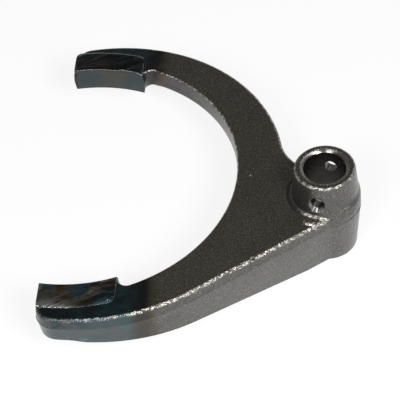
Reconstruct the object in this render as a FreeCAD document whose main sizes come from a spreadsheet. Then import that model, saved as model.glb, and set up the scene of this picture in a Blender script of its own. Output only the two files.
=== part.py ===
"""A forged clutch fork: two curved arms with machined shoes straddle a sliding collar,
and a tall boss holds the fork on its rail with a cross pin.

Frame: the origin is on the axis of the rail bore, at the forging's parting plane.
+Z runs up the bore, the arms open towards -X, and the upper arm is on the +Y side.
"""
import FreeCAD, Part
import math
import os
from types import SimpleNamespace

import Sketcher
from FreeCAD import Rotation, Vector

# Driving sizes in millimetres and degrees: alias, value, what it is.
SIZES = [
    ("collar_reach", 94.8, "rail axis to collar axis, along X"),
    ("collar_side", 12.3, "rail axis to collar axis, along Y"),
    ("tip_past", 9.2, "ends of the arms beyond the collar axis, along X"),
    ("shoe_radius", 56.0, "machined inner face of the shoes, about the collar axis"),
    ("shoe_step", 4.6, "arm's inner wall outside the shoe face"),
    ("shoe_height", 11.0, "across the two machined lands of a shoe"),
    ("land_width", 10.9, "raised land of a shoe, along the radius"),
    ("shoe_length", 29.4, "arm's end to the shoulder that ends a shoe, along X"),
    ("machining", 1.5, "metal that machining takes off the shoe's inner face"),
    ("land_corner", 3.0, "corner of the land at the shoulder"),
    ("land_inset", 0.6, "land's walls inside the arm's end and shoulder"),
    ("land_slope_down", 0.7, "sloped edge of the land, along Z"),
    ("land_slope_in", 1.8, "sloped edge of the land, along its face"),
    ("shoe_chamfer", 0.8, "chamfer along the machined inner face"),
    ("web_height", 9.0, "thickness of the arms' web"),
    ("upper_width", 9.0, "upper arm's outer arc: radius beyond the inner wall's"),
    ("upper_shift_along", 9.4, "upper arm's outer arc: centre from the collar axis, along X"),
    ("upper_shift_across", 1.4, "upper arm's outer arc: centre from the collar axis, along Y"),
    ("lower_width", 14.4, "lower arm's outer arc: radius beyond the inner wall's"),
    ("lower_shift_along", 5.1, "lower arm's outer arc: centre from the collar axis, along X"),
    ("lower_shift_across", 2.0, "lower arm's outer arc: centre from the collar axis, along Y"),
    ("tip_corner", 7.5, "outer corner at the end of an arm"),
    ("neck_radius", 18.0, "hollow where the upper arm runs into the boss"),
    ("root_radius", 12.1, "round end of the arms' outline, inside the boss"),
    ("rib_width", 7.5, "rib along the outer edge, at the parting plane"),
    ("rib_overlap", 0.6, "how far the lower web runs into the rib"),
    ("rib_root_depth", 19.6, "underside of the rib below the parting plane, at the boss"),
    ("rib_root_reach", 7.2, "rail axis to where the underside comes level at the boss, along X"),
    ("rib_tip_depth", 7.2, "underside of the rib below the parting plane, at the arm's end"),
    ("rib_level", 13.0, "level stretch of the underside at the arm's end, along X"),
    ("rib_ramp", 4.0, "short ramp between level and slope, along X"),
    ("rib_drop", 1.33, "fall of the underside over the ramp"),
    ("rib_bend", 12.0, "radius of the bends at both ends of the ramp"),
    ("draft", 5.0, "forging draft, both ways from the parting plane"),
    ("boss_radius", 13.15, "boss at the parting plane"),
    ("boss_top", 19.1, "top of the boss above the parting plane"),
    ("boss_bottom", 21.0, "bottom of the boss below the parting plane"),
    ("boss_top_radius", 11.35, "boss at its top"),
    ("boss_bottom_radius", 11.45, "boss at its bottom"),
    ("rail_bore", 16.0, "diameter of the bore for the rail"),
    ("bore_chamfer", 1.0, "chamfer at both mouths of the bore"),
    ("pin_bore", 5.0, "diameter of the cross hole for the pin"),
    ("pin_height", 11.0, "cross hole above the parting plane"),
    ("pin_angle", 75.6, "direction of the cross hole, turned from +X"),
    ("pin_sink", 6.8, "diameter of the countersinks of the cross hole"),
    ("edge_round", 1.6, "round on the arms' upper outer edge and at the foot of the boss"),
    ("inner_round", 0.8, "round on the arms' upper inner edge"),
    ("under_round", 1.8, "round on the lower edge of the arms' inner wall"),
    ("rib_fillet", 1.5, "fillet between rib and web"),
    ("boss_round", 1.3, "round on the boss's top edge"),
    ("boss_chamfer", 0.8, "chamfer on the boss's bottom edge"),
    ("shoulder_fillet", 3.0, "hollow corner between a shoe's shoulder and the inner wall"),
    ("margin", 6.0, "how far the cuts run past the metal"),
]

doc = FreeCAD.newDocument("ClutchFork")
sheet = doc.addObject("Spreadsheet::Sheet", "Sizes")
for row, (alias, value, note) in enumerate(SIZES, start=1):
    sheet.set(f"A{row}", note)
    sheet.set(f"B{row}", str(value))
    sheet.setAlias(f"B{row}", alias)
doc.recompute()
size = SimpleNamespace(**{alias: value for alias, value, note in SIZES})

UP = Vector(0, 0, 1)
START, END, CENTRE = 1, 2, 3
ORIGIN = (-1, 1)
AXIS = (0.0, 0.0)
COLLAR = (-size.collar_reach, size.collar_side)

# Radii and places that several profiles share, as expressions of the sheet.
WALL = "Sizes.shoe_radius + Sizes.shoe_step"
ROUGH_FACE = "Sizes.shoe_radius - Sizes.machining"
LAND_EDGE = "Sizes.shoe_radius + Sizes.land_width"
TIP = "Sizes.collar_reach + Sizes.tip_past"
SHOULDER = f"{TIP} - Sizes.shoe_length"
LEVEL_END = f"{TIP} - Sizes.rib_level"
# The arm's end corner is no rounder than its rib is wide, and the land's slope and the
# shoe's chamfer go no deeper than most of the land's step above the web.
CORNER = "min(Sizes.tip_corner; Sizes.rib_width)"
BREAK = "min(Sizes.shoe_chamfer; 0.4 * (Sizes.shoe_height - Sizes.web_height))"
SLOPE_FALL = "min(Sizes.land_slope_down; 0.35 * (Sizes.shoe_height - Sizes.web_height))"
wall = size.shoe_radius + size.shoe_step
rough_face = size.shoe_radius - size.machining
land_edge = size.shoe_radius + size.land_width
tip_reach = size.collar_reach + size.tip_past
shoulder_reach = tip_reach - size.shoe_length
level_end = tip_reach - size.rib_level
end_corner = min(size.tip_corner, size.rib_width)
slope_fall = min(size.land_slope_down, 0.35 * (size.shoe_height - size.web_height))


def polar(centre, radius, degrees):
    """The point at a radius and direction from a centre, both as (x, y)."""
    angle = math.radians(degrees)
    return (centre[0] + radius * math.cos(angle), centre[1] + radius * math.sin(angle))


def direction(start, end):
    """The direction from one point to another, in degrees."""
    return math.degrees(math.atan2(end[1] - start[1], end[0] - start[0]))


def at_x(centre, radius, x, side):
    """The point of a circle at an x, on its upper (+1) or lower (-1) half."""
    return (x, centre[1] + side * math.sqrt(radius ** 2 - (x - centre[0]) ** 2))


def crossing(first, first_radius, second, second_radius, side):
    """Where two circles cross, left (+1) or right (-1) of the line between their centres."""
    gap = math.dist(first, second)
    along = (gap ** 2 + first_radius ** 2 - second_radius ** 2) / (2 * gap)
    across = side * math.sqrt(first_radius ** 2 - along ** 2)
    ux, uy = (second[0] - first[0]) / gap, (second[1] - first[1]) / gap
    return (first[0] + along * ux - across * uy, first[1] + along * uy + across * ux)


class Profile:
    """A sketch on one of the body's own planes, with each of its sizes bound to the sheet."""

    def __init__(self, body, role, name):
        self.sketch = body.newObject("Sketcher::SketchObject", name)
        plane = [item for item in body.Origin.OriginFeatures if item.Role == role][0]
        self.sketch.AttachmentSupport = [(plane, "")]
        self.sketch.MapMode = "FlatFace"
        self.bound = 0

    def line(self, start, end):
        return self.sketch.addGeometry(Part.LineSegment(Vector(*start, 0), Vector(*end, 0)), False)

    def arc(self, centre, radius, start, end):
        """An arc that runs anticlockwise from one direction to another."""
        circle = Part.Circle(Vector(*centre, 0), UP, radius)
        sweep = (end - start) % 360
        first = math.radians(start)
        return self.sketch.addGeometry(
            Part.ArcOfCircle(circle, first, first + math.radians(sweep)), False)

    def circle(self, centre, radius):
        return self.sketch.addGeometry(Part.Circle(Vector(*centre, 0), UP, radius), False)

    def point(self, where, line=None):
        """A construction point, on a line's run if one is given."""
        index = self.sketch.addGeometry(Part.Point(Vector(*where, 0)), True)
        if line is not None:
            self.rule("PointOnObject", index, START, line)
        return index

    def rule(self, kind, *where):
        return self.sketch.addConstraint(Sketcher.Constraint(kind, *where))

    def bind(self, kind, where, drawn, expression):
        """A dimension, as drawn at first, that then follows an expression of the sheet."""
        index = self.rule(kind, *where, drawn)
        self.bound += 1
        self.sketch.renameConstraint(index, f"bound_{self.bound}")
        self.sketch.setExpression(f"Constraints.bound_{self.bound}", expression)

    def radius(self, index, expression):
        self.bind("Radius", (index,), self.sketch.Geometry[index].Radius, expression)

    def place(self, point, left="", right="", down="", up=""):
        """Dimension a point from the origin, on the sides that are given."""
        drawn = self.sketch.getPoint(*point)
        if left:
            self.bind("DistanceX", (*point, *ORIGIN), -drawn.x, left)
        if right:
            self.bind("DistanceX", (*ORIGIN, *point), drawn.x, right)
        if down:
            self.bind("DistanceY", (*point, *ORIGIN), -drawn.y, down)
        if up:
            self.bind("DistanceY", (*ORIGIN, *point), drawn.y, up)

    def join(self, *runs):
        """Join runs end to start: each is (part, entry, exit) with "smooth" or "sharp" after it."""
        parts = runs[0::2]
        joins = runs[1::2]
        for (one, _, leave), (other, enter, _), how in zip(parts, parts[1:] + parts[:1], joins):
            kind = "Tangent" if how == "smooth" else "Coincident"
            self.rule(kind, one, leave, other, enter)

    def polygon(self, points):
        """A closed run of straight lines through the points; returns the lines."""
        lines = [self.line(one, other) for one, other in zip(points, points[1:] + points[:1])]
        for one, other in zip(lines, lines[1:] + lines[:1]):
            self.rule("Coincident", one, END, other, START)
        return lines


def solid(kind, body, name, profile, **bindings):
    """A feature of the body made from a profile, with its sizes bound to the sheet."""
    feature = body.newObject(f"PartDesign::{kind}", name)
    feature.Profile = profile.sketch
    for key, expression in bindings.items():
        feature.setExpression(key, expression)
    return feature


def dress(kind, body, name, edges, **bindings):
    """A fillet or chamfer on edges of the body's last feature."""
    base = body.Tip
    feature = body.newObject(f"PartDesign::{kind}", name)
    feature.Base = (base, edges)
    for key, expression in bindings.items():
        feature.setExpression(key, expression)
    return feature


def edges_where(body, test):
    """The names of the body's edges that pass a test on a few points along each."""
    doc.recompute()
    names = []
    for number, edge in enumerate(body.Shape.Edges, start=1):
        if edge.Length > 1e-4 and all(test(point) for point in edge.discretize(5)):
            names.append(f"Edge{number}")
    if not names:
        raise RuntimeError("no edge passes the test")
    return names


def arm_arc(side):
    """Centre and radius of an arm's outer arc: upper arm (+1) or lower arm (-1)."""
    if side > 0:
        centre = (COLLAR[0] + size.upper_shift_along, COLLAR[1] + size.upper_shift_across)
        return centre, wall + size.upper_width
    centre = (COLLAR[0] + size.lower_shift_along, COLLAR[1] + size.lower_shift_across)
    return centre, wall + size.lower_width


def corner_seat(side):
    """The centre of the round outer corner at an arm's end."""
    centre, radius = arm_arc(side)
    return at_x(centre, radius - end_corner, end_corner - tip_reach, side)


def outer_edge(profile, inset="0", cut=0.0, rounded=True):
    """The arms' outer edge, anticlockwise, ending in round corners or straight on the ends.

    It is the lower arc, the straight to the boss, the round end inside the boss, the
    hollow neck and the upper arc; an inset moves all of it inward.
    """
    (upper, upper_radius), (lower, lower_radius) = arm_arc(1), arm_arc(-1)
    upper_radius, lower_radius = upper_radius - cut, lower_radius - cut
    root_radius = size.root_radius - cut
    neck_radius = size.neck_radius + cut
    neck = crossing(AXIS, root_radius + neck_radius, upper, upper_radius + neck_radius, -1)
    lean = math.degrees(math.acos((lower_radius - root_radius) / math.dist(lower, AXIS)))
    square = direction(lower, AXIS) - lean
    if rounded:
        upper_end, lower_end = corner_seat(1), corner_seat(-1)
    else:
        upper_end = at_x(upper, upper_radius, -tip_reach, 1)
        lower_end = at_x(lower, lower_radius, -tip_reach, -1)

    low = profile.arc(lower, lower_radius, direction(lower, lower_end), square)
    straight = profile.line(polar(lower, lower_radius, square), polar(AXIS, root_radius, square))
    root = profile.arc(AXIS, root_radius, square, direction(AXIS, neck))
    hollow = profile.arc(neck, neck_radius, direction(neck, upper), direction(neck, AXIS))
    high = profile.arc(upper, upper_radius, direction(upper, neck), direction(upper, upper_end))

    profile.rule("Coincident", root, CENTRE, *ORIGIN)
    profile.place((low, CENTRE), left="Sizes.collar_reach - Sizes.lower_shift_along",
                  up="Sizes.collar_side + Sizes.lower_shift_across")
    profile.place((high, CENTRE), left="Sizes.collar_reach - Sizes.upper_shift_along",
                  up="Sizes.collar_side + Sizes.upper_shift_across")
    profile.radius(low, f"{WALL} + Sizes.lower_width - ({inset})")
    profile.radius(root, f"Sizes.root_radius - ({inset})")
    profile.radius(hollow, f"Sizes.neck_radius + ({inset})")
    profile.radius(high, f"{WALL} + Sizes.upper_width - ({inset})")
    run = [(low, START, END), "smooth", (straight, START, END), "smooth",
           (root, START, END), "smooth", (hollow, END, START), "smooth", (high, START, END)]
    return run, {1: upper_end, -1: lower_end}


def arm_outline(body, name, inset="0", cut=0.0, rounded=True):
    """Both arms in plan: outer edge, ends, shoes, shoulders and inner wall."""
    profile = Profile(body, "XY_Plane", name)
    run, ends = outer_edge(profile, inset, cut, rounded)
    tip_x, shoulder_x = -tip_reach, -shoulder_reach
    inside, seats = {}, {}
    for side in (1, -1):
        hollow = at_x(COLLAR, wall - size.shoulder_fillet, shoulder_x + size.shoulder_fillet, side)
        seats[side] = direction(COLLAR, hollow)
        face_end = at_x(COLLAR, rough_face, tip_x, side)
        face_shoulder = at_x(COLLAR, rough_face, shoulder_x, side)
        shoulder_top = (shoulder_x, hollow[1])
        tip_start = (tip_x, ends[side][1])
        centre, radius = arm_arc(side)
        outward = direction(centre, ends[side])
        if side > 0:
            tip = profile.line(tip_start, face_end)
            face = profile.arc(COLLAR, rough_face, direction(COLLAR, face_shoulder),
                               direction(COLLAR, face_end))
            shoulder = profile.line(face_shoulder, shoulder_top)
            relief = profile.arc(hollow, size.shoulder_fillet, seats[side], 180)
            inside[side] = [(tip, START, END), "sharp", (face, END, START), "sharp",
                            (shoulder, START, END), "smooth", (relief, END, START)]
            if rounded:
                corner = profile.arc(ends[side], end_corner, outward, 180)
                inside[side] = [(corner, START, END), "smooth"] + inside[side]
        else:
            relief = profile.arc(hollow, size.shoulder_fillet, 180, seats[side])
            shoulder = profile.line(shoulder_top, face_shoulder)
            face = profile.arc(COLLAR, rough_face, direction(COLLAR, face_end),
                               direction(COLLAR, face_shoulder))
            tip = profile.line(face_end, tip_start)
            inside[side] = [(relief, END, START), "smooth", (shoulder, START, END), "sharp",
                            (face, END, START), "sharp", (tip, START, END)]
            if rounded:
                corner = profile.arc(ends[side], end_corner, 180, outward)
                inside[side] += ["smooth", (corner, START, END)]
        if rounded:
            profile.radius(corner, CORNER)
        profile.rule("Vertical", tip)
        profile.rule("Vertical", shoulder)
        profile.place((tip, END), left=TIP)
        profile.place((shoulder, START), left=SHOULDER)
        profile.radius(relief, "Sizes.shoulder_fillet")
        profile.radius(face, ROUGH_FACE)
        profile.place((face, CENTRE), left="Sizes.collar_reach", up="Sizes.collar_side")
    inner = profile.arc(COLLAR, wall, seats[-1], seats[1])
    profile.place((inner, CENTRE), left="Sizes.collar_reach", up="Sizes.collar_side")
    profile.radius(inner, WALL)
    turn = "smooth" if rounded else "sharp"
    profile.join(*run, turn, *inside[1], "smooth", (inner, END, START), "smooth",
                 *inside[-1], turn)
    return profile


def rib_outline(body):
    """The rib in plan: a band along the outer edge, from one arm's end to the other."""
    profile = Profile(body, "XY_Plane", "rib_outline")
    outer, outer_ends = outer_edge(profile)
    profile.corners = []
    inner, inner_ends = outer_edge(profile, "Sizes.rib_width", size.rib_width, False)
    ends = {}
    for side in (1, -1):
        seat = outer_ends[side]
        outward = direction(arm_arc(side)[0], seat)
        corner_tip, inner_tip = (-tip_reach, seat[1]), inner_ends[side]
        if side > 0:
            corner = profile.arc(seat, end_corner, outward, 180)
            tip = profile.line(corner_tip, inner_tip)
            ends[side] = [(corner, START, END), "smooth", (tip, START, END)]
        else:
            corner = profile.arc(seat, end_corner, 180, outward)
            tip = profile.line(inner_tip, corner_tip)
            ends[side] = [(tip, START, END), "smooth", (corner, START, END)]
        profile.rule("Vertical", tip)
        profile.place((tip, START), left=TIP)
        profile.radius(corner, CORNER)
        profile.corners.append(profile.sketch.Geometry[corner])
    back = [item if isinstance(item, str) else (item[0], item[2], item[1]) for item in inner[::-1]]
    profile.join(*outer, "smooth", *ends[1], "sharp", *back, "sharp", *ends[-1], "smooth")
    return profile


def rib_underside(body):
    """The line of the rib's underside, seen from the side, with the air below it.

    It is level at the arms' ends, drops on a short ramp, slopes down and is level at the boss.
    """
    profile = Profile(body, "XZ_Plane", "rib_underside")
    far_x, near_x = -tip_reach - 2 * size.margin, size.boss_radius + size.margin
    slope_x, root_x = size.rib_ramp - level_end, -size.rib_root_reach
    lines = profile.polygon([
        (far_x, -size.rib_tip_depth),
        (-level_end, -size.rib_tip_depth),
        (slope_x, -size.rib_tip_depth - size.rib_drop),
        (root_x, -size.rib_root_depth),
        (near_x, -size.rib_root_depth),
        (near_x, -size.rib_root_depth - size.margin),
        (far_x, -size.rib_root_depth - size.margin)])
    level, ramp, slope, root, drop, base, rise = lines
    for line in (level, root, base):
        profile.rule("Horizontal", line)
    for line in (drop, rise):
        profile.rule("Vertical", line)
    profile.place((level, START), left=f"{TIP} + 2 * Sizes.margin",
                  down="Sizes.rib_tip_depth")
    profile.place((ramp, START), left=LEVEL_END)
    profile.place((slope, START), left=f"{LEVEL_END} - Sizes.rib_ramp",
                  down="Sizes.rib_tip_depth + Sizes.rib_drop")
    profile.place((root, START), left="Sizes.rib_root_reach", down="Sizes.rib_root_depth")
    profile.place((drop, START), right="Sizes.boss_radius + Sizes.margin")
    profile.place((base, START), down="Sizes.rib_root_depth + Sizes.margin")
    return profile


def shoe_lands(body):
    """The raised lands of both shoes in plan, a little inside the arm's end and shoulder."""
    profile = Profile(body, "XY_Plane", "shoe_lands")
    tip_x = size.land_inset - tip_reach
    shoulder_x = -size.land_inset - shoulder_reach
    corner_radius = end_corner - size.land_inset
    arcs = {1: (size.upper_shift_along, size.upper_shift_across, size.upper_width, "upper"),
            -1: (size.lower_shift_along, size.lower_shift_across, size.lower_width, "lower")}
    for side in (1, -1):
        along, across, width, arm = arcs[side]
        centre = (COLLAR[0] + along, COLLAR[1] + across)
        seat = at_x(centre, wall + width - end_corner, tip_x + corner_radius, side)
        near = at_x(COLLAR, land_edge - size.land_corner, shoulder_x - size.land_corner, side)
        meet = crossing(COLLAR, land_edge, seat, corner_radius, side)
        face_tip = at_x(COLLAR, rough_face, tip_x, side)
        face_shoulder = at_x(COLLAR, rough_face, shoulder_x, side)
        toward_near, toward_meet = direction(COLLAR, near), direction(COLLAR, meet)
        tip = profile.line((tip_x, seat[1]), face_tip)
        shoulder = profile.line(face_shoulder, (shoulder_x, near[1]))
        if side > 0:
            corner = profile.arc(near, size.land_corner, 0, toward_near)
            edge = profile.arc(COLLAR, land_edge, toward_near, toward_meet)
            end = profile.arc(seat, corner_radius, direction(seat, meet), 180)
            face = profile.arc(COLLAR, rough_face, direction(COLLAR, face_shoulder),
                               direction(COLLAR, face_tip))
            enter, leave = START, END
        else:
            corner = profile.arc(near, size.land_corner, toward_near, 0)
            edge = profile.arc(COLLAR, land_edge, toward_meet, toward_near)
            end = profile.arc(seat, corner_radius, 180, direction(seat, meet))
            face = profile.arc(COLLAR, rough_face, direction(COLLAR, face_tip),
                               direction(COLLAR, face_shoulder))
            enter, leave = END, START
        profile.join((shoulder, START, END), "smooth", (corner, enter, leave), "smooth",
                     (edge, enter, leave), "sharp", (end, enter, leave), "smooth",
                     (tip, START, END), "sharp", (face, leave, enter), "sharp")
        profile.rule("Vertical", tip)
        profile.rule("Vertical", shoulder)
        profile.place((tip, END), left=f"{TIP} - Sizes.land_inset")
        profile.place((shoulder, START), left=f"{SHOULDER} + Sizes.land_inset")
        profile.radius(corner, "Sizes.land_corner")
        profile.radius(end, f"{CORNER} - Sizes.land_inset")
        profile.radius(edge, LAND_EDGE)
        profile.radius(face, ROUGH_FACE)
        for part in (edge, face):
            profile.place((part, CENTRE), left="Sizes.collar_reach", up="Sizes.collar_side")
        arm_centre = profile.point(centre)
        profile.place((arm_centre, START),
                      left=f"Sizes.collar_reach - Sizes.{arm}_shift_along",
                      up=f"Sizes.collar_side + Sizes.{arm}_shift_across")
        gap = math.dist(centre, seat)
        profile.bind("Distance", (arm_centre, START, end, CENTRE), gap,
                     f"{WALL} + Sizes.{arm}_width - {CORNER}")
    return profile


def boss_section(body):
    """Half of the boss's section: draft both ways, a forged round above, a chamfer below."""
    profile = Profile(body, "XZ_Plane", "boss_section")
    top, bottom, rounding = size.boss_top, size.boss_bottom, size.boss_round
    widest = (size.boss_radius, 0.0)
    lean = math.degrees(math.atan2(size.boss_radius - size.boss_top_radius, top))
    narrowing = (size.boss_radius - size.boss_bottom_radius) / bottom
    seat_x = size.boss_top_radius - rounding * math.tan(math.radians(45 - lean / 2))
    seat = (seat_x, top - rounding)
    low = (size.boss_bottom_radius + narrowing * size.boss_chamfer, size.boss_chamfer - bottom)
    high = polar(seat, rounding, lean)

    base = profile.line((0.0, -bottom), (size.boss_bottom_radius - size.boss_chamfer, -bottom))
    chamfer = profile.line((size.boss_bottom_radius - size.boss_chamfer, -bottom), low)
    low_wall = profile.line(low, widest)
    high_wall = profile.line(widest, high)
    shoulder = profile.arc(seat, rounding, lean, 90)
    lid = profile.line((seat[0], top), (0.0, top))
    axis = profile.line((0.0, top), (0.0, -bottom))
    profile.join((base, START, END), "sharp", (chamfer, START, END), "sharp",
                 (low_wall, START, END), "sharp", (high_wall, START, END), "smooth",
                 (shoulder, START, END), "smooth", (lid, START, END), "sharp",
                 (axis, START, END), "sharp")
    profile.rule("Horizontal", base)
    profile.rule("Horizontal", lid)
    profile.rule("PointOnObject", axis, START, -2)
    profile.rule("PointOnObject", axis, END, -2)
    profile.rule("PointOnObject", high_wall, START, -1)
    profile.radius(shoulder, "Sizes.boss_round")
    profile.place((axis, START), up="Sizes.boss_top")
    profile.place((axis, END), down="Sizes.boss_bottom")
    profile.place((high_wall, START), right="Sizes.boss_radius")
    profile.place((base, END), right="Sizes.boss_bottom_radius - Sizes.boss_chamfer")
    profile.place((low_wall, START), down="Sizes.boss_bottom - Sizes.boss_chamfer")
    high_rim = profile.point((size.boss_top_radius, top), high_wall)
    profile.place((high_rim, START), right="Sizes.boss_top_radius", up="Sizes.boss_top")
    low_rim = profile.point((size.boss_bottom_radius, -bottom), low_wall)
    profile.place((low_rim, START), right="Sizes.boss_bottom_radius", down="Sizes.boss_bottom")
    return profile


def land_slope_section(body):
    """The sliver cut off the lands' top edges, in a plane through the collar axis."""
    profile = Profile(body, "XZ_Plane", "land_slope")
    profile.sketch.AttachmentOffset = FreeCAD.Placement(
        Vector(-size.collar_reach, 0, -size.collar_side), Rotation())
    profile.sketch.setExpression("AttachmentOffset.Base.x", "-Sizes.collar_reach")
    profile.sketch.setExpression("AttachmentOffset.Base.z", "-Sizes.collar_side")
    top, fall = size.shoe_height / 2, slope_fall / size.land_slope_in
    start, reach = land_edge - size.land_slope_in, land_edge + size.land_slope_in / 4
    lines = profile.polygon([
        (start, top), (reach, top - 1.25 * slope_fall), (reach, top + size.margin),
        (start, top + size.margin)])
    profile.rule("Vertical", lines[1])
    profile.rule("Horizontal", lines[2])
    profile.rule("Vertical", lines[3])
    profile.place((lines[0], START), right=f"{LAND_EDGE} - Sizes.land_slope_in",
                  up="Sizes.shoe_height / 2")
    profile.place((lines[1], START), right=f"{LAND_EDGE} + Sizes.land_slope_in / 4",
                  up=f"Sizes.shoe_height / 2 - 1.25 * {SLOPE_FALL}")
    profile.place((lines[2], START), up="Sizes.shoe_height / 2 + Sizes.margin")
    return profile


def round_hole(body, name, centre, radius, **where):
    """A circle in plan for a cut along Z."""
    profile = Profile(body, "XY_Plane", name)
    index = profile.circle(centre, radius[0])
    if where:
        profile.place((index, CENTRE), **where)
    else:
        profile.rule("Coincident", index, CENTRE, *ORIGIN)
    profile.radius(index, radius[1])
    return profile


def pin_section(body):
    """Half of the cross hole's section, along its own axis, with a countersink at each end."""
    profile = Profile(body, "XY_Plane", "pin_section")
    profile.sketch.AttachmentOffset = FreeCAD.Placement(Vector(), Rotation(UP, size.pin_angle))
    profile.sketch.setExpression("AttachmentOffset.Base.z", "Sizes.pin_height")
    profile.sketch.setExpression("AttachmentOffset.Rotation.Angle", "Sizes.pin_angle")
    slope = (size.boss_radius - size.boss_top_radius) / size.boss_top
    bore, sink = size.pin_bore / 2, size.pin_sink / 2
    start = size.boss_radius - slope * size.pin_height - (sink - bore)
    reach = start + size.margin
    start_says = ("Sizes.boss_radius - (Sizes.boss_radius - Sizes.boss_top_radius)"
                  " * Sizes.pin_height / Sizes.boss_top - (Sizes.pin_sink - Sizes.pin_bore) / 2")
    reach_says = f"{start_says} + Sizes.margin"
    lines = profile.polygon([
        (-reach, 0.0), (reach, 0.0), (reach, bore + size.margin), (start, bore),
        (-start, bore), (-reach, bore + size.margin)])
    profile.rule("PointOnObject", lines[0], START, -1)
    profile.rule("PointOnObject", lines[0], END, -1)
    profile.rule("Horizontal", lines[3])
    profile.rule("Vertical", lines[1])
    profile.rule("Vertical", lines[5])
    profile.place((lines[0], START), left=reach_says)
    profile.place((lines[0], END), right=reach_says)
    profile.place((lines[2], START), up="Sizes.pin_bore / 2 + Sizes.margin")
    profile.place((lines[5], START), up="Sizes.pin_bore / 2 + Sizes.margin")
    profile.place((lines[3], START), right=start_says, up="Sizes.pin_bore / 2")
    profile.place((lines[3], END), left=start_says)
    return profile


def from_collar(point):
    """How far a point is from the collar axis."""
    return math.hypot(point.x - COLLAR[0], point.y - COLLAR[1])


def from_rail(point):
    """How far a point is from the rail axis."""
    return math.hypot(point.x, point.y)


def from_outside(point):
    """How far a point lies, in plan, from the arms' outer edge at the parting plane."""
    return outer_run.distToShape(Part.Vertex(point.x, point.y, 0))[0]


def drawn_in(point):
    """How far the draft has drawn a wall in at a point's height."""
    return abs(point.z) * math.tan(math.radians(size.draft))


def near(one, other, slack=0.02):
    return abs(one - other) < slack


def on_outer_wall(point):
    return near(from_outside(point), drawn_in(point))


def on_rib_inner_wall(point):
    return near(from_outside(point), size.rib_width - drawn_in(point))


def on_inner_wall(point):
    """On the arms' inner wall or its hollow corners, which end at the shoulders."""
    inside = from_collar(point) < wall + drawn_in(point) + 0.02
    return inside and point.x > -shoulder_reach - drawn_in(point) - 0.02


def upright_walls(body):
    """The names of the body's upright faces."""
    doc.recompute()
    names = []
    for number, face in enumerate(body.Shape.Faces, start=1):
        first, last, low, high = face.ParameterRange
        if abs(face.normalAt((first + last) / 2, (low + high) / 2).z) < 0.01:
            names.append(f"Face{number}")
    return names


def draw_in(body, name, downward):
    """Draft on the body's upright walls, from the parting plane up or down."""
    walls = upright_walls(body)
    base = body.Tip
    plane = [item for item in body.Origin.OriginFeatures if item.Role == "XY_Plane"][0]
    feature = body.newObject("PartDesign::Draft", name)
    feature.Base = (base, walls)
    feature.NeutralPlane = (plane, [""])
    feature.Reversed = downward
    feature.setExpression("Angle", "Sizes.draft")
    return feature


fork = doc.addObject("PartDesign::Body", "clutch_fork")
fork.Label = "clutch_fork"
doc.recompute()
half_web, half_shoe = size.web_height / 2, size.shoe_height / 2

# Below the parting plane: the web, the rib and its sloping underside, then the draft.
web_outline = arm_outline(fork, "lower_outline", "Sizes.rib_width - Sizes.rib_overlap",
                          size.rib_width - size.rib_overlap, False)
web_below = solid("Pad", fork, "web_below", web_outline, Length="Sizes.web_height / 2")
web_below.Reversed = True
rib_profile = rib_outline(fork)
rib = solid("Pad", fork, "rib", rib_profile, Length="Sizes.rib_root_depth + Sizes.margin / 2")
rib.Reversed = True
underside = solid("Pocket", fork, "rib_underside", rib_underside(fork))
underside.SideType = "Symmetric"
underside.Type = "ThroughAll"
draw_in(fork, "draft_below", True)

# Above the parting plane: the web alone, with its own draft.
full_outline = arm_outline(fork, "upper_outline")
solid("Pad", fork, "web_above", full_outline, Length="Sizes.web_height / 2")
draw_in(fork, "draft_above", False)

# The outer edge at the parting plane, to find the walls' edges by: it is the rib's first run.
doc.recompute()
outer_run = Part.Compound([part.toShape() for part in rib_profile.sketch.Geometry[:5]
                           + rib_profile.corners])

# Rounds below, while nothing else meets the rib.
bends = edges_where(fork, lambda point: point.z < -half_web - 1 and (
    near(point.x, -level_end) or near(point.x, size.rib_ramp - level_end))
    and abs(point.y - COLLAR[1]) > wall)
dress("Fillet", fork, "ramp_bends", bends, Radius="Sizes.rib_bend")
foot = edges_where(fork, lambda point: near(point.z, -half_web) and on_rib_inner_wall(point))
dress("Fillet", fork, "rib_foot", foot, Radius="Sizes.rib_fillet")
inner_low = edges_where(fork, lambda point: near(point.z, -half_web) and on_inner_wall(point))
dress("Fillet", fork, "lower_inner_edge", inner_low, Radius="Sizes.under_round")

# The boss, and one forging round along the top's outer edge and the boss's foot.
boss = solid("Revolution", fork, "boss", boss_section(fork))
boss.ReferenceAxis = (boss.Profile[0], ["V_Axis"])
boss_taper = (size.boss_radius - size.boss_top_radius) / size.boss_top
foot_radius = size.boss_radius - boss_taper * half_web
top_edges = edges_where(fork, lambda point: near(point.z, half_web) and (
    on_outer_wall(point) or near(from_rail(point), foot_radius)))
dress("Fillet", fork, "upper_outer_edge", top_edges, Radius="Sizes.edge_round")
inner_high = edges_where(fork, lambda point: near(point.z, half_web) and on_inner_wall(point))
dress("Fillet", fork, "upper_inner_edge", inner_high, Radius="Sizes.inner_round")

# The shoes' raised lands, sloped along their upper outer edge.
lands = solid("Pad", fork, "shoe_lands", shoe_lands(fork), Length="Sizes.shoe_height / 2",
              Length2="Sizes.shoe_height / 2")
lands.SideType = "Two sides"
slopes = solid("Groove", fork, "land_slopes", land_slope_section(fork))
slopes.ReferenceAxis = (slopes.Profile[0], ["V_Axis"])

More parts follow.
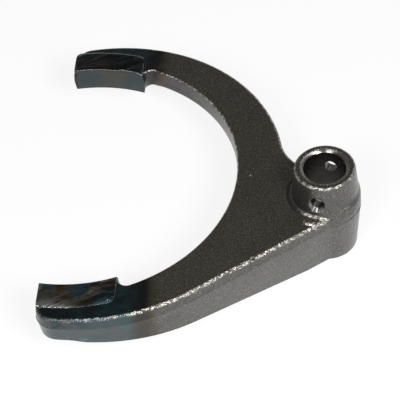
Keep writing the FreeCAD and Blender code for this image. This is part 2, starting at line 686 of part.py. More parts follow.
# Machining: the rail bore, the shoes' faces and the cross hole.
bore = solid("Pocket", fork, "rail_bore",
             round_hole(fork, "bore_circle", AXIS, (size.rail_bore / 2, "Sizes.rail_bore / 2")))
bore.SideType = "Symmetric"
bore.Type = "ThroughAll"
mouths = edges_where(fork, lambda point: near(from_rail(point), size.rail_bore / 2)
                     and (near(point.z, size.boss_top) or near(point.z, -size.boss_bottom)))
dress("Chamfer", fork, "bore_mouths", mouths, Size="Sizes.bore_chamfer")
faces = solid("Pocket", fork, "shoe_faces",
              round_hole(fork, "face_circle", COLLAR, (size.shoe_radius, "Sizes.shoe_radius"),
                         left="Sizes.collar_reach", up="Sizes.collar_side"))
faces.SideType = "Symmetric"
faces.Type = "ThroughAll"
rims = edges_where(fork, lambda point: near(abs(point.z), half_shoe)
                   and near(from_collar(point), size.shoe_radius))
dress("Chamfer", fork, "shoe_edges", rims, Size=BREAK)
pin = solid("Groove", fork, "pin_hole", pin_section(fork))
pin.ReferenceAxis = (pin.Profile[0], ["H_Axis"])

doc.recompute()
failed = [item.Name for item in doc.Objects if {"Invalid", "Error"} & set(item.State)]
if failed:
    raise RuntimeError(f"features that failed: {failed}")
if fork.Shape.isNull() or not fork.Shape.isValid() or len(fork.Shape.Solids) != 1:
    raise RuntimeError("the fork isn't one valid solid")
os.makedirs("parts", exist_ok=True)
fork.Shape.exportStep(f"parts/{fork.Label}.step")
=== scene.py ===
"""The looks of a forged clutch fork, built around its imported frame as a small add-on."""

import math

import bmesh
import bpy
from bpy.props import FloatProperty, FloatVectorProperty, PointerProperty
from bpy.types import Operator, Panel, PropertyGroup
from mathutils import Matrix, Vector


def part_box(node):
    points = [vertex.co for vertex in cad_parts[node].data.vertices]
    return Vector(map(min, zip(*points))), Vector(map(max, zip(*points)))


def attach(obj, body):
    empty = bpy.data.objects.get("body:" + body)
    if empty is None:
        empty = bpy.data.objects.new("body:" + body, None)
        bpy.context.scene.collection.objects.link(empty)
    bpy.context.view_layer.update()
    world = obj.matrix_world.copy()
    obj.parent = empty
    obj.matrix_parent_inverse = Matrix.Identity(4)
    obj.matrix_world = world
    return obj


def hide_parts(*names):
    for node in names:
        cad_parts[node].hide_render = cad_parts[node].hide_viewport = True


bl_info = {
    "name": "Forged clutch fork",
    "version": (1, 0, 0),
    "blender": (4, 5, 0),
    "location": "3D View > Sidebar > Fork",
    "description": "Builds the looks of a forged clutch fork and its plain studio",
    "category": "Object",
}

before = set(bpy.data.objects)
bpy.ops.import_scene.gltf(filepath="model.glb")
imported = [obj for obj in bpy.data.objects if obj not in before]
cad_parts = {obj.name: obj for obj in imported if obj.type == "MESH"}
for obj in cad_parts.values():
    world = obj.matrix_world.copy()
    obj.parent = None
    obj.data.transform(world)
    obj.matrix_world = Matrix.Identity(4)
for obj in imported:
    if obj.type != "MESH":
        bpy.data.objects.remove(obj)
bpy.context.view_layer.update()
NODE = "clutch_fork"

# Places that the shape gives, in metres: the collar's axis, and the boss's cross hole.
COLLAR = (-0.0948, 0.0123)
PIN_HEIGHT = 0.011
PIN_ANGLE = math.radians(75.6)
# How far the arms' outer wall is from the collar's axis at least, and the boss's wall from
# the rail's axis at least and at most.
ARM_WALL = 0.064
BOSS_WALL = (0.0102, 0.0134)
# Vertices closer than this are one, in the frame's mesh and after a cut.
FRAME_WELD = 1e-6
CUT_WELD = 3e-6
# The bores' cutters: how far they reach, how deep their cones are, and their facets.
BORE_REACH = 0.03
PIN_REACH = 0.02
MOUTH_DEPTH = 0.0017
SINK_DEPTH = 0.0022
CONE_OVERLAP = 0.0002
RAIL_SIDES = 160
PIN_SIDES = 72
# Knocks from handling, as balls: a nick in the web's face and two dings in the lower rim.
KNOCKS = (
    ((-0.02844, 0.00909, 0.00542), 0.0012),
    ((-0.02620, -0.03146, 0.00445), 0.0010),
    ((-0.02935, -0.03476, 0.00445), 0.0010),
)
# How many levels carry the boss's swell.
SWELL_LEVELS = 8
# The floor: its size, its gap under the fork, and the share of it that glows to the eye.
FLOOR_SIZE = 6.0
FLOOR_GAP = 0.0002
FLOOR_GLOW = 0.85
# The camera: what it looks at, its degrees round, up and leaning, its distance and lens.
VIEW_CENTRE = (-0.0472, -0.00296, 0.0045)
VIEW_ANGLES = (8.88, 47.76, -7.08)
VIEW_DISTANCE = 0.603
VIEW_LENS = 144.0
# The finishes, in the order of the body's materials.
FORGED, MILLED, TURNED = range(3)
# A wall's normal has less Z than this.
UPRIGHT = 0.3
# How far from the rail's axis, from the cross hole's and from the collar's the machined faces
# reach, and where the shoes and their lands start, along X and up.
BORE_FACES = 0.0081
MOUTH_FACES = 0.00905
BOSS_FACES = 0.0145
PIN_FACES = 0.00345
SHOE_FACES = 0.05685
LAND_FACES = 0.067
SHOE_START = -0.0738
LAND_START = -0.0745
LAND_HEIGHT = 0.00475
# Where each tint begins and is full, along X, and how the line wanders and leads.
BROWN_BAND = (-0.0635, -0.0675)
BLACK_BAND = (-0.0660, -0.0700)
BLUE_BAND = (-0.0705, -0.0770)
TINT_WANDER = 0.007
LOWER_TINT_LEAD = 0.0055


def length(name, text, default):
    return FloatProperty(name=name, description=text, default=default, subtype="DISTANCE",
                         unit="LENGTH", precision=5)


def colour(name, text, default):
    return FloatVectorProperty(name=name, description=text, default=default, subtype="COLOR",
                               size=3, min=0.0, max=1.0)


class ForkSizes(PropertyGroup):
    """Sizes of the details that forging and use leave on the fork."""

    ridge: length("Die line", "How far the trimmed die line stands off the outer wall", 0.00028)
    ridge_band: length("Die line foot", "Half the height of the die line's foot", 0.0005)
    bulge: length("Boss swell", "How far the boss's lower wall swells past its taper", 0.00045)
    bulge_top: length("Boss swell height", "Where the swell ends, above the die line", 0.0080)
    rail_bore: length("Rail bore", "Diameter of the rail's bore", 0.016)
    bore_chamfer: length("Bore chamfer", "Chamfer at the bore's mouths", 0.001)
    bore_spare: length("Bore spare", "How much the fine bores exceed the frame's", 0.000006)
    pin_bore: length("Cross hole", "Diameter of the cross hole", 0.005)
    sink_start: length("Countersink", "Where a countersink starts, from the rail's axis", 0.011213)
    grain: length("Grain", "Size of the pits that shot blasting leaves", 0.00055)


class ForkColours(PropertyGroup):
    """Colours of the fork's steel."""

    pit: colour("Pits", "Dark pits that blasting leaves", (0.035, 0.03, 0.024))
    skin: colour("Forged skin", "Blasted steel of the walls", (0.112, 0.112, 0.108))
    flat: colour("Flat skin", "Darker, browner steel of the flat faces", (0.125, 0.115, 0.092))
    glint: colour("Glints", "Bright facets between the blasted pits", (0.42, 0.38, 0.31))
    # Painted shade: this colour darkens the rounds that turn under, the upper arm's inner wall and
    # the boss's sheltered foot.
    scale: colour("Scale", "Dark scale on the rounds that turn under", (0.030, 0.032, 0.032))
    # Rubbed steel on the rounds, brightened into a painted highlight; the milled lands' bright
    # arcs use it as a painted highlight too.
    rubbed: colour("Rubbed rounds", "Steel rubbed bright on the rounds", (0.46, 0.44, 0.40))
    turned: colour("Turned steel", "Bright steel of the bored and turned faces",
                   (0.36, 0.35, 0.33))
    shoe_grey: colour("Shoe grey", "Warm grey of the shoes' faces", (0.064, 0.066, 0.060))
    shoe_blue: colour("Shoe blue", "Bluer patches on the shoes' faces", (0.045, 0.062, 0.064))
    milled: colour("Milled steel", "Steel of the milled lands", (0.22, 0.20, 0.165))
    tint_blue: colour("Blue tint", "Heat tint at the arms' ends", (0.034, 0.076, 0.088))
    tint_mauve: colour("Mauve tint", "Greyer patches of the walls' heat tint",
                       (0.100, 0.103, 0.112))
    # The black tint's colour also serves as painted shade, in the bore and high on the arms' ends.
    tint_black: colour("Black tint", "Heat tint behind the blue", (0.012, 0.013, 0.016))
    tint_brown: colour("Brown tint", "Where the heat tint fades out", (0.075, 0.055, 0.032))


class ForkStudio(PropertyGroup):
    """The studio around the fork."""

    paper: colour("Paper", "Colour of the floor", (0.94, 0.94, 0.94))
    key_power: FloatProperty(name="Key lamp", description="Power of the lamp at the right",
                             default=8.5, min=0.0, unit="POWER")
    front_power: FloatProperty(name="Front lamp", description="Power of the lamp at the left",
                               default=4.5, min=0.0, unit="POWER")


def scaled(tone, factor):
    """A colour made darker or brighter."""
    return [factor * part for part in tone]


class Nodes:
    """A material's node tree, with a short call for each kind of node."""

    def __init__(self, tree):
        self.tree = tree
        tree.nodes.clear()

    def add(self, kind, **settings):
        node = self.tree.nodes.new(kind)
        for key, value in settings.items():
            setattr(node, key, value)
        return node

    def put(self, socket, value):
        """Set a socket, or link it when the value is another node's socket."""
        if isinstance(value, bpy.types.NodeSocket):
            self.tree.links.new(value, socket)
        elif value is not None:
            if socket.type == "RGBA" and len(value) == 3:
                value = (*value, 1.0)
            socket.default_value = value

    def math(self, operation, *values):
        node = self.add("ShaderNodeMath", operation=operation)
        for socket, value in zip(node.inputs, values):
            self.put(socket, value)
        return node.outputs[0]

    def smooth(self, value, low, high):
        """A smooth step of a value: 0 at one number and 1 at another."""
        node = self.add("ShaderNodeMapRange", interpolation_type="SMOOTHSTEP")
        for socket, number in zip(node.inputs, (value, low, high, 0.0, 1.0)):
            self.put(socket, number)
        return node.outputs[0]

    def mix(self, factor, one, other):
        node = self.add("ShaderNodeMix", data_type="RGBA")
        self.put(node.inputs[0], factor)
        self.put(node.inputs[6], one)
        self.put(node.inputs[7], other)
        return node.outputs[2]

    def tint(self, base, mask, share, tone):
        """Mix a colour into a base where a mask is, by a share at most."""
        return self.mix(self.math("MULTIPLY", mask, share), base, tone)

    def blend(self, factor, one, other):
        """A number between two others."""
        node = self.add("ShaderNodeMix", data_type="FLOAT")
        self.put(node.inputs[0], factor)
        self.put(node.inputs[2], one)
        self.put(node.inputs[3], other)
        return node.outputs[0]

    def noise(self, where, scale, detail=2.0, rough=0.5, distortion=0.0):
        node = self.add("ShaderNodeTexNoise")
        self.put(node.inputs["Vector"], where)
        self.put(node.inputs["Scale"], scale)
        self.put(node.inputs["Detail"], detail)
        self.put(node.inputs["Roughness"], rough)
        self.put(node.inputs["Distortion"], distortion)
        return node.outputs[0]

    def turn(self, where, angle=(0.0, 0.0, 0.0), scale=(1.0, 1.0, 1.0)):
        node = self.add("ShaderNodeMapping", vector_type="TEXTURE")
        self.put(node.inputs["Vector"], where)
        self.put(node.inputs["Rotation"], angle)
        self.put(node.inputs["Scale"], scale)
        return node.outputs[0]

    def bump(self, height, strength, distance, normal=None):
        node = self.add("ShaderNodeBump")
        self.put(node.inputs["Height"], height)
        self.put(node.inputs["Strength"], strength)
        self.put(node.inputs["Distance"], distance)
        self.put(node.inputs["Normal"], normal)
        return node.outputs[0]

    def finish(self, base, metallic, roughness, normal):
        shader = self.add("ShaderNodeBsdfPrincipled")
        self.put(shader.inputs["Base Color"], base)
        self.put(shader.inputs["Metallic"], metallic)
        self.put(shader.inputs["Roughness"], roughness)
        self.put(shader.inputs["Normal"], normal)
        output = self.add("ShaderNodeOutputMaterial")
        self.tree.links.new(shader.outputs[0], output.inputs[0])
        return shader


def new_material(name):
    material = bpy.data.materials.new(name)
    material.use_nodes = True
    return material, Nodes(material.node_tree)


def places(nodes):
    """The piece's own coordinates, and X, Y and Z by themselves."""
    where = nodes.add("ShaderNodeTexCoord").outputs["Object"]
    split = nodes.add("ShaderNodeSeparateXYZ")
    nodes.put(split.inputs[0], where)
    return where, split.outputs[0], split.outputs[1], split.outputs[2]


def heat_tint(nodes, where, x, y, z, base, flatness):
    """Tint steel as induction hardening does: brown, then black, then blue toward the ends.

    Returns the tinted colour, and how blue each place is.
    """
    colours = bpy.context.scene.fork_colours
    wander = nodes.noise(where, 140.0, 3.0, 0.55)
    shift = nodes.math("MULTIPLY", nodes.math("SUBTRACT", wander, 0.5), TINT_WANDER)
    lower = nodes.smooth(y, 0.02, -0.01)
    along = nodes.math("ADD", x, shift)
    along = nodes.math("SUBTRACT", along, nodes.math("MULTIPLY", lower, LOWER_TINT_LEAD))
    brown = nodes.smooth(along, *BROWN_BAND)
    black = nodes.math("MULTIPLY", nodes.smooth(along, *BLACK_BAND),
                       nodes.blend(flatness, 0.55, 1.0))
    blue = nodes.smooth(along, *BLUE_BAND)
    tinted = nodes.tint(base, brown, 0.75, colours.tint_brown)
    tinted = nodes.tint(tinted, black, 0.9, colours.tint_black)

    # The blue itself in two patchy tones, with painted light: lighter on the walls and darker on
    # the flats, the second tone paler on the walls, and painted shade high on the walls' ends.
    pale = nodes.mix(flatness, scaled(colours.tint_blue, 1.45), scaled(colours.tint_blue, 0.95))
    upper_wall_shade = nodes.math("MULTIPLY", nodes.smooth(x, -0.0780, -0.0950),
                       nodes.smooth(z, -0.0005, 0.0010))
    pale = nodes.tint(pale, upper_wall_shade, 0.55, colours.tint_black)
    second = nodes.mix(flatness, colours.tint_mauve, colours.tint_black)
    patch = nodes.smooth(nodes.noise(where, 210.0, 4.0, 0.6), 0.40, 0.62)
    teal = nodes.tint(pale, patch, nodes.blend(flatness, 0.8, 0.6), second)
    tinted = nodes.tint(tinted, blue, nodes.blend(flatness, 0.72, 0.92), teal)
    return tinted, blue


def blasted_steel(nodes, where, fine, flatness):
    """The bare blasted steel, cloudy, with bright specks and dark pits; and the specks."""
    colours = bpy.context.scene.fork_colours
    clouds = nodes.smooth(nodes.noise(where, 95.0, 4.0, 0.6), 0.3, 0.7)
    walls = nodes.mix(clouds, colours.skin, scaled(colours.skin, 0.84))
    flats = nodes.mix(clouds, colours.flat, scaled(colours.flat, 0.82))
    base = nodes.mix(flatness, walls, flats)
    speck = nodes.smooth(fine, 0.50, 0.68)
    base = nodes.tint(base, speck, nodes.blend(flatness, 0.45, 0.72), colours.glint)
    base = nodes.tint(base, nodes.smooth(fine, 0.47, 0.32), 0.55, colours.pit)
    return base, speck


def under_scale(nodes, flat_place, y, z, up, base, flatness):
    """Painted shade: dark where a round turns under, and on the upper arm's inner wall, faces that
    look down into the shade under the fork.
    """
    scale = bpy.context.scene.fork_colours.scale
    under = nodes.math("MULTIPLY", nodes.smooth(up, -0.12, -0.34),
                       nodes.smooth(up, -0.99, -0.90))
    base = nodes.tint(base, under, 0.9, scale)
    # The painted shade on that wall is darkest in its lower half, which faces down a little.
    reach = nodes.add("ShaderNodeVectorMath", operation="DISTANCE")
    nodes.put(reach.inputs[0], flat_place)
    nodes.put(reach.inputs[1], (*COLLAR, 0.0))
    inner = nodes.math("MULTIPLY", nodes.smooth(reach.outputs["Value"], 0.0668, 0.0656),
                       nodes.smooth(y, 0.000, 0.025))
    inner = nodes.math("MULTIPLY", inner,
                       nodes.blend(nodes.smooth(z, 0.0004, -0.0006), 0.55, 0.93))
    inner = nodes.math("MULTIPLY", inner, nodes.smooth(flatness, 0.3, 0.1))
    return nodes.mix(inner, base, scale)


def rubbed_rounds(nodes, flat_place, x, y, z, up, pits, blue, tinted):
    """Brighten the rounds between wall and flat as rubbed steel and painted highlight, in broken
    glints; and where the rounds are.
    """
    colours = bpy.context.scene.fork_colours
    round_edge = nodes.math("MULTIPLY", nodes.smooth(up, 0.18, 0.42),
                            nodes.smooth(up, 0.985, 0.92))
    # Painted shade: the boss shelters its own foot, away from the rib, so that part is painted
    # dark and gets little painted highlight.
    out = nodes.add("ShaderNodeVectorMath", operation="LENGTH")
    nodes.put(out.inputs[0], flat_place)
    at_foot = nodes.math("MULTIPLY", nodes.smooth(out.outputs["Value"], 0.0150, 0.0146),
                         nodes.smooth(z, 0.0085, 0.0075))
    sheltered = nodes.math("MULTIPLY", at_foot, nodes.smooth(y, -0.0112, -0.0070))
    round_edge = nodes.math("MULTIPLY", round_edge, nodes.blend(sheltered, 1.0, 0.12))

    # Painted highlight: broken glints on the rounds, weaker on the blue tint and toward the arms'
    # ends.
    spots = nodes.smooth(pits, 0.46, 0.57)
    share = nodes.blend(spots, 0.04, nodes.blend(blue, 0.95, 0.5))
    rubbed = nodes.math("MULTIPLY", round_edge, share)
    tip = nodes.smooth(x, -0.0850, -0.0960)
    tinted = nodes.tint(tinted, rubbed, nodes.blend(tip, 1.0, 0.3), colours.rubbed)
    # Painted shade on the sheltered foot.
    foot = nodes.math("MULTIPLY", sheltered, nodes.smooth(up, 0.05, 0.25))
    return nodes.tint(tinted, foot, 0.7, colours.scale), round_edge


def forged_skin():
    """Shot-blasted forging: fine pits and glints, browner on the flats, tinted at the ends."""
    grain = bpy.context.scene.fork_sizes.grain
    material, nodes = new_material("forged_skin")
    where, x, y, z = places(nodes)
    facing = nodes.add("ShaderNodeSeparateXYZ")
    nodes.put(facing.inputs[0], nodes.add("ShaderNodeNewGeometry").outputs["Normal"])
    up = facing.outputs[2]
    flatness = nodes.smooth(nodes.math("ABSOLUTE", up), 0.55, 0.93)
    flat = nodes.add("ShaderNodeCombineXYZ")
    nodes.put(flat.inputs[0], x)
    nodes.put(flat.inputs[1], y)
    flat_place = flat.outputs[0]

    fine = nodes.noise(where, 1.0 / grain, 3.0, 0.7)
    pits = nodes.noise(where, 0.42 / grain, 2.0, 0.6)
    base, speck = blasted_steel(nodes, where, fine, flatness)
    base = under_scale(nodes, flat_place, y, z, up, base, flatness)
    tinted, blue = heat_tint(nodes, where, x, y, z, base, flatness)
    tinted, round_edge = rubbed_rounds(nodes, flat_place, x, y, z, up, pits, blue, tinted)

    roughness = nodes.blend(speck, nodes.blend(flatness, 0.36, 0.44), 0.28)
    roughness = nodes.blend(nodes.math("MULTIPLY", blue, 0.7), roughness, 0.27)
    roughness = nodes.blend(round_edge, roughness, 0.36)
    height = nodes.math("ADD", nodes.math("MULTIPLY", fine, 0.5), pits)
    strength = nodes.blend(round_edge, nodes.blend(flatness, 0.38, 0.7), 1.0)
    glints = nodes.noise(where, 0.62 / grain, 2.0, 0.6)
    normal = nodes.bump(nodes.noise(where, 170.0, 2.0, 0.5), 0.35, 0.0008)
    normal = nodes.bump(height, strength, 0.00026, normal)
    normal = nodes.bump(glints, round_edge, 0.0005, normal)
    shader = nodes.finish(tinted, 0.92, roughness, normal)
    shader.inputs["Coat Weight"].default_value = 0.35
    shader.inputs["Coat Roughness"].default_value = 0.28
    return material


def milled_land():
    """The arms' raised lands: fly-cut arcs across the steel, under a patchy heat tint."""
    colours = bpy.context.scene.fork_colours
    material, nodes = new_material("milled_land")
    where, x, y, _ = places(nodes)
    streaks = nodes.turn(where, angle=(0.0, 0.0, math.radians(24)), scale=(1.0, 0.2, 1.0))
    fine = nodes.noise(streaks, 300.0, 3.0, 0.65, 0.2)
    broad = nodes.noise(streaks, 75.0, 2.0, 0.5, 0.6)
    patches = nodes.noise(where, 130.0, 4.0, 0.65)
    base = nodes.mix(nodes.smooth(fine, 0.38, 0.62), colours.milled, scaled(colours.milled, 0.5))
    base = nodes.tint(base, nodes.smooth(patches, 0.50, 0.62), 0.7, colours.tint_brown)
    base = nodes.tint(base, nodes.smooth(patches, 0.54, 0.45), 0.85,
                      scaled(colours.tint_blue, 1.45))
    base = nodes.tint(base, nodes.smooth(broad, 0.48, 0.38), 0.7, colours.tint_black)
    # Painted highlight: bright arcs along the milling marks, most of all across the lower land's
    # outer end.
    bright = nodes.math("MULTIPLY", nodes.smooth(broad, 0.54, 0.62), nodes.smooth(fine, 0.4, 0.6))
    end = nodes.math("MULTIPLY", nodes.smooth(x, -0.0880, -0.0960),
                     nodes.smooth(y, -0.050, -0.053))
    at_end = nodes.math("MULTIPLY", end, nodes.smooth(fine, 0.36, 0.56))
    bright = nodes.math("MAXIMUM", bright, at_end)
    base = nodes.tint(base, bright, 0.8, colours.rubbed)
    upper = nodes.smooth(y, 0.0, 0.02)
    base = nodes.tint(base, upper, 0.72, colours.tint_black)
    roughness = nodes.blend(nodes.smooth(fine, 0.3, 0.7), 0.24, 0.40)
    normal = nodes.bump(broad, 0.4, 0.0004)
    normal = nodes.bump(fine, 0.6, 0.00014, normal)
    nodes.finish(base, 0.95, roughness, normal)
    return material


def turned_face():
    """Bored, turned and countersunk faces: clean steel with fine rings along the tool's path."""
    colours = bpy.context.scene.fork_colours
    material, nodes = new_material("turned_face")
    where, x, _, z = places(nodes)
    rings = nodes.turn(where, scale=(1.0, 1.0, 0.07))
    fine = nodes.noise(rings, 260.0, 2.0, 0.6)
    clouds = nodes.noise(where, 120.0, 3.0, 0.6)
    base = nodes.mix(nodes.smooth(fine, 0.35, 0.65), colours.turned, scaled(colours.turned, 0.78))
    base = nodes.tint(base, nodes.smooth(clouds, 0.45, 0.7), 0.35, scaled(colours.turned, 0.5))
    at_shoe = nodes.smooth(x, -0.070, -0.073)
    shoe = nodes.mix(nodes.smooth(clouds, 0.40, 0.60), colours.shoe_grey, colours.shoe_blue)
    base = nodes.tint(base, at_shoe, 0.94, shoe)
    # Painted shade: the bore is darker between its two mouths.
    deep = nodes.math("MULTIPLY", nodes.smooth(z, 0.0184, 0.0176),
                      nodes.smooth(z, -0.0205, -0.0195))
    deep = nodes.math("MULTIPLY", deep, nodes.smooth(x, -0.0090, -0.0085))
    base = nodes.tint(base, deep, 0.3, colours.tint_black)
    roughness = nodes.blend(nodes.smooth(fine, 0.3, 0.7), 0.26, 0.36)
    normal = nodes.bump(fine, 0.12, 0.00006)
    shader = nodes.finish(base, 1.0, roughness, normal)
    shader.inputs["Anisotropic"].default_value = 0.92
    around = nodes.add("ShaderNodeTangent", direction_type="RADIAL", axis="Z")
    nodes.put(shader.inputs["Tangent"], around.outputs[0])
    return material


def from_collar(point):
    """How far a point is from the collar's axis."""
    return math.hypot(point.x - COLLAR[0], point.y - COLLAR[1])


def from_rail(point):
    """How far a point is from the rail's axis."""
    return math.hypot(point.x, point.y)


def from_pin(point):
    """How far a point is from the cross hole's axis."""
    across = -point.x * math.sin(PIN_ANGLE) + point.y * math.cos(PIN_ANGLE)
    return math.hypot(across, point.z - PIN_HEIGHT)


def smooth_step(value, low, high):
    """0 below one number, 1 above the other, and smooth between."""
    share = min(max((value - low) / (high - low), 0.0), 1.0)
    return share * share * (3 - 2 * share)


def only(piece):
    """Make one piece the only selected and active object."""
    bpy.ops.object.select_all(action="DESELECT")
    piece.select_set(True)
    bpy.context.view_layer.objects.active = piece


def select_faces(piece, test):
    """Select only the faces that pass a test, in edit mode; returns how many there are."""
    bpy.ops.mesh.select_mode(type="FACE")
    bpy.ops.mesh.select_all(action="DESELECT")
    mesh = bmesh.from_edit_mesh(piece.data)
    mesh.faces.ensure_lookup_table()
    mesh.normal_update()
    count = 0
    for face in mesh.faces:
        if test(face):
            face.select_set(True)
            count += 1
    bmesh.update_edit_mesh(piece.data)
    return count


def cut_level(piece, height, test):
    """Cut the faces that pass a test along a level plane."""
    if select_faces(piece, test):
        bpy.ops.mesh.bisect(plane_co=(0.0, 0.0, height), plane_no=(0.0, 0.0, 1.0))


def on_outer_wall(face):
    """Whether a face is on the arms' outer wall, near the parting plane."""
    centre = face.calc_center_median()
    return (abs(face.normal.z) < UPRIGHT and from_collar(centre) > ARM_WALL
            and from_rail(centre) > BOSS_WALL[0] and abs(centre.z) < 0.0085)


def on_boss_wall(face):
    """Whether a face is on the boss's wall, at the swell's heights."""
    centre = face.calc_center_median()
    return (abs(face.normal.z) < UPRIGHT and BOSS_WALL[0] < from_rail(centre) < BOSS_WALL[1]
            and -0.002 < centre.z < 0.0175)


def finish_of(centre, normal):
    """Which finish a face has: 0 forged, 1 milled, 2 turned."""
    rail, collar = from_rail(centre), from_collar(centre)
    slanted = UPRIGHT < abs(normal.z) < 0.9
    if rail < BORE_FACES or (rail < MOUTH_FACES and slanted):
        return TURNED
    faces_pin = from_pin(centre + normal * 0.001) < from_pin(centre)
    if rail < BOSS_FACES and from_pin(centre) < PIN_FACES and faces_pin:
        return TURNED
    if centre.x < SHOE_START and collar < SHOE_FACES:
        return TURNED
    level = abs(centre.z) > LAND_HEIGHT and abs(normal.z) > 0.85
    if centre.x < LAND_START and level and collar < LAND_FACES:
        return MILLED
    return FORGED


def cut_with(piece, cutters):
    """Cut a piece with solids that are then thrown away."""
    for cutter in cutters:
        only(piece)
        tool = piece.modifiers.new("cut", "BOOLEAN")
        tool.operation = "DIFFERENCE"
        tool.solver = "EXACT"
        tool.object = cutter
        bpy.ops.object.modifier_apply(modifier=tool.name)
        bpy.data.objects.remove(cutter)
        only(piece)
        bpy.ops.object.mode_set(mode="EDIT")
        bpy.ops.mesh.select_all(action="SELECT")
        bpy.ops.mesh.remove_doubles(threshold=CUT_WELD)
        bpy.ops.object.mode_set(mode="OBJECT")


def rebore(piece, sizes):
    """Cut the rail bore, its mouths, the cross hole and its countersinks again, truly round."""
    spare, rail, pin = sizes.bore_spare, sizes.rail_bore / 2, sizes.pin_bore / 2
    low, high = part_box(NODE)
    cutters = []

    def turned(small, large, start, end, where, rotation, sides):
        bpy.ops.object.select_all(action="DESELECT")
        bpy.ops.mesh.primitive_cone_add(
            vertices=sides, radius1=small + spare, radius2=large + spare, depth=end - start,
            location=where, rotation=rotation)
        cutters.append(bpy.context.object)

    turned(rail, rail, -BORE_REACH, BORE_REACH, (0.0, 0.0, 0.0), (0.0, 0.0, 0.0), RAIL_SIDES)
    for level, side, flip in ((high.z, 1, 0.0), (low.z, -1, math.pi)):
        height = level + side * (MOUTH_DEPTH / 2 - sizes.bore_chamfer - CONE_OVERLAP)
        turned(rail - CONE_OVERLAP, rail + MOUTH_DEPTH - CONE_OVERLAP, 0.0, MOUTH_DEPTH,
               (0.0, 0.0, height), (flip, 0.0, 0.0), RAIL_SIDES)
    turned(pin, pin, -PIN_REACH, PIN_REACH, (0.0, 0.0, PIN_HEIGHT),
           (0.0, math.pi / 2, PIN_ANGLE), PIN_SIDES)
    start, end = sizes.sink_start - CONE_OVERLAP, sizes.sink_start + SINK_DEPTH
    middle = (start + end) / 2
    for angle in (PIN_ANGLE, PIN_ANGLE + math.pi):
        place = (middle * math.cos(angle), middle * math.sin(angle), PIN_HEIGHT)
        turned(pin - CONE_OVERLAP, pin + SINK_DEPTH, start, end, place,
               (0.0, math.pi / 2, angle), PIN_SIDES)
    cut_with(piece, cutters)


def knock(piece):
    """Dent the forging with small balls, where handling has struck it."""
    cutters = []
    for place, radius in KNOCKS:
        bpy.ops.object.select_all(action="DESELECT")
        bpy.ops.mesh.primitive_uv_sphere_add(segments=20, ring_count=12, radius=radius,
                                             location=place)
        cutters.append(bpy.context.object)
    cut_with(piece, cutters)


def shift_of(point, normal, sizes):
    """How far out a wall's vertex moves, for the die line's crest and the boss's swell."""
    out = Vector((normal.x, normal.y, 0.0))
    if out.length < 0.5:
        return None
    out.normalize()
    move = 0.0
    rail = from_rail(point)
    at_parting = abs(point.z) < 1e-5
    if from_collar(point) > ARM_WALL and rail > BOSS_WALL[0] and at_parting:
        waver = 0.75 + 0.25 * math.sin(900 * point.x + 700 * point.y)
        move += sizes.ridge * waver
    if 0.0105 < rail < BOSS_WALL[1] and 0.0001 < point.z < 0.0095:
        facing = math.degrees(math.atan2(point.y, point.x))
        window = smooth_step(facing, -82, -62) * (1 - smooth_step(facing, 40, 80))
        rise = smooth_step(point.z, 0.0, 0.0030) * (
            1 - smooth_step(point.z, 0.0060, sizes.bulge_top))
        move += sizes.bulge * window * rise
    return out * move if move else None


def shape_walls(piece, sizes):
    """Move the walls' vertices out, never past the frame's box."""
    low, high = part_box(NODE)
    moved = {}
    for vertex in piece.data.vertices:
        shift = shift_of(vertex.co, vertex.normal, sizes)
        if shift is not None:
            moved[vertex.index] = vertex.co + shift
    for index, point in moved.items():
        piece.data.vertices[index].co = [min(max(part, least), most)
                                         for part, least, most in zip(point, low, high)]


def smooth_normals(piece):
    """Shade the piece smooth, with its flats kept flat beside the rounds."""
    bpy.ops.object.shade_smooth_by_angle(angle=math.radians(32))
    even = piece.modifiers.new("even", "WEIGHTED_NORMAL")
    even.mode = "FACE_AREA"
    even.weight = 90
    even.keep_sharp = True
    bpy.ops.object.modifier_apply(modifier=even.name)


def give_finishes(piece):
    """Give each face the material of its finish."""
    builders = (forged_skin, milled_land, turned_face)
    piece.data.materials.clear()
    for build in builders:
        material = bpy.data.materials.get(build.__name__) or build()
        piece.data.materials.append(material)
    for face in piece.data.polygons:
        face.material_index = finish_of(face.center, face.normal)


class FORK_OT_forged_body(Operator):
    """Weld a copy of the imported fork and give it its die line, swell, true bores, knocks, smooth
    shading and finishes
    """

    bl_idname = "fork.forged_body"
    bl_label = "Forged body"

    def execute(self, context):
        sizes = context.scene.fork_sizes
        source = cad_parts[NODE]
        body = bpy.data.objects.new("forged_body", source.data.copy())
        context.scene.collection.objects.link(body)
        body.matrix_world = Matrix.Identity(4)
        only(body)
        bpy.ops.object.mode_set(mode="EDIT")
        bpy.ops.mesh.select_all(action="SELECT")
        bpy.ops.mesh.remove_doubles(threshold=FRAME_WELD)

        # The die line: a fine crest on the outer wall at the parting plane.
        for height in (0.0, sizes.ridge_band, -sizes.ridge_band):
            cut_level(body, height, on_outer_wall)
        # Levels for the boss's swell.
        for step in range(1, SWELL_LEVELS + 1):
            cut_level(body, step * sizes.bulge_top / SWELL_LEVELS, on_boss_wall)
        bpy.ops.object.mode_set(mode="OBJECT")

        shape_walls(body, sizes)
        rebore(body, sizes)
        knock(body)
        smooth_normals(body)
        give_finishes(body)

        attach(body, "root")
        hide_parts(NODE)
        return {"FINISHED"}


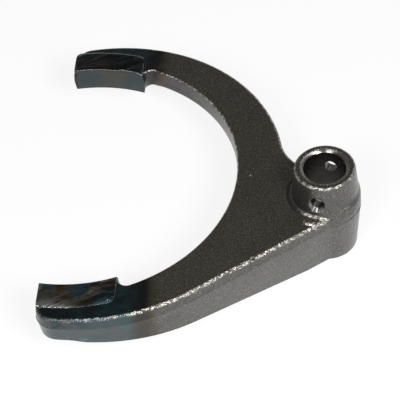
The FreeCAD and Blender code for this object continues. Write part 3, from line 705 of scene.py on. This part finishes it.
class FORK_OT_studio(Operator):
    """Set the floor, the lamps, the world and the camera"""

    bl_idname = "fork.studio"
    bl_label = "Studio"

    def execute(self, context):
        studio = context.scene.fork_studio
        low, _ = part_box(NODE)
        bpy.ops.object.select_all(action="DESELECT")
        bpy.ops.mesh.primitive_plane_add(size=FLOOR_SIZE, location=(0.0, 0.0, low.z - FLOOR_GAP))
        floor = context.object
        floor.name = "studio_floor"
        material, nodes = new_material("paper")
        ray = nodes.add("ShaderNodeLightPath")
        seen = nodes.math("MAXIMUM", ray.outputs["Is Camera Ray"], nodes.math(
            "MAXIMUM", ray.outputs["Is Glossy Ray"], ray.outputs["Is Transmission Ray"]))
        plain = nodes.add("ShaderNodeBsdfDiffuse")
        nodes.put(plain.inputs["Color"], studio.paper)
        white = nodes.add("ShaderNodeEmission")
        nodes.put(white.inputs["Color"], (1.0, 1.0, 1.0))
        mixed = nodes.add("ShaderNodeMixShader")
        nodes.put(mixed.inputs[0], nodes.math("MULTIPLY", seen, FLOOR_GLOW))
        nodes.put(mixed.inputs[1], plain.outputs[0])
        nodes.put(mixed.inputs[2], white.outputs[0])
        output = nodes.add("ShaderNodeOutputMaterial")
        nodes.put(output.inputs[0], mixed.outputs[0])
        floor.data.materials.append(material)

        # The world: white at the horizon, dim overhead, as in a room with pale walls.
        world = bpy.data.worlds.new("studio")
        context.scene.world = world
        world.use_nodes = True
        sky = Nodes(world.node_tree)
        split = sky.add("ShaderNodeSeparateXYZ")
        sky.put(split.inputs[0], sky.add("ShaderNodeTexCoord").outputs["Generated"])
        height = sky.smooth(split.outputs[2], 0.05, 0.30)
        shade = sky.mix(height, (1.0, 1.0, 1.0), (0.13, 0.13, 0.13))
        light = sky.add("ShaderNodeBackground")
        sky.put(light.inputs["Color"], shade)
        sky.put(light.inputs["Strength"], 1.0)
        output = sky.add("ShaderNodeOutputWorld")
        sky.put(output.inputs[0], light.outputs[0])

        centre = Vector(VIEW_CENTRE)
        for name, place, size, power in (
                ("key_lamp", (0.38, -0.60, 0.70), 0.34, studio.key_power),
                ("front_lamp", (-0.26, -0.66, 0.70), 0.30, studio.front_power)):
            bpy.ops.object.light_add(type="AREA", location=place)
            lamp = context.object
            lamp.name = name
            lamp.data.shape = "DISK"
            lamp.data.size = size
            lamp.data.energy = power
            lamp.rotation_euler = (centre - Vector(place)).to_track_quat("-Z", "Y").to_euler()

        around, above, lean = (math.radians(part) for part in VIEW_ANGLES)
        back = Vector((math.sin(around) * math.cos(above), -math.cos(around) * math.cos(above),
                       math.sin(above)))
        right = Vector((math.cos(around), math.sin(around), 0.0))
        up = back.cross(right)
        leaned = math.cos(lean) * right + math.sin(lean) * up
        stood = math.cos(lean) * up - math.sin(lean) * right
        bpy.ops.object.camera_add()
        camera = context.object
        camera.name = "studio_camera"
        camera.data.lens = VIEW_LENS
        camera.data.sensor_width = 36.0
        camera.data.clip_start = 0.01
        turned = Matrix((leaned, stood, back)).transposed().to_4x4()
        camera.matrix_world = Matrix.Translation(centre + VIEW_DISTANCE * back) @ turned
        context.scene.camera = camera
        context.scene.view_settings.view_transform = "Standard"
        return {"FINISHED"}


class FORK_PT_builder(Panel):
    """The fork's builder in the sidebar"""

    bl_label = "Clutch fork"
    bl_idname = "FORK_PT_builder"
    bl_space_type = "VIEW_3D"
    bl_region_type = "UI"
    bl_category = "Fork"

    def draw(self, context):
        layout = self.layout
        for group in (context.scene.fork_sizes, context.scene.fork_colours,
                      context.scene.fork_studio):
            box = layout.box()
            for name in group.__annotations__:
                box.prop(group, name)
        for operator in (FORK_OT_forged_body, FORK_OT_studio):
            layout.operator(operator.bl_idname)


CLASSES = (ForkSizes, ForkColours, ForkStudio, FORK_OT_forged_body, FORK_OT_studio,
           FORK_PT_builder)


def register():
    for item in CLASSES:
        bpy.utils.register_class(item)
    bpy.types.Scene.fork_sizes = PointerProperty(type=ForkSizes)
    bpy.types.Scene.fork_colours = PointerProperty(type=ForkColours)
    bpy.types.Scene.fork_studio = PointerProperty(type=ForkStudio)


def unregister():
    for name in ("fork_studio", "fork_colours", "fork_sizes"):
        delattr(bpy.types.Scene, name)
    for item in reversed(CLASSES):
        bpy.utils.unregister_class(item)


def main():
    register()
    bpy.ops.fork.forged_body()
    bpy.ops.fork.studio()


if __name__ == "__main__":
    main()
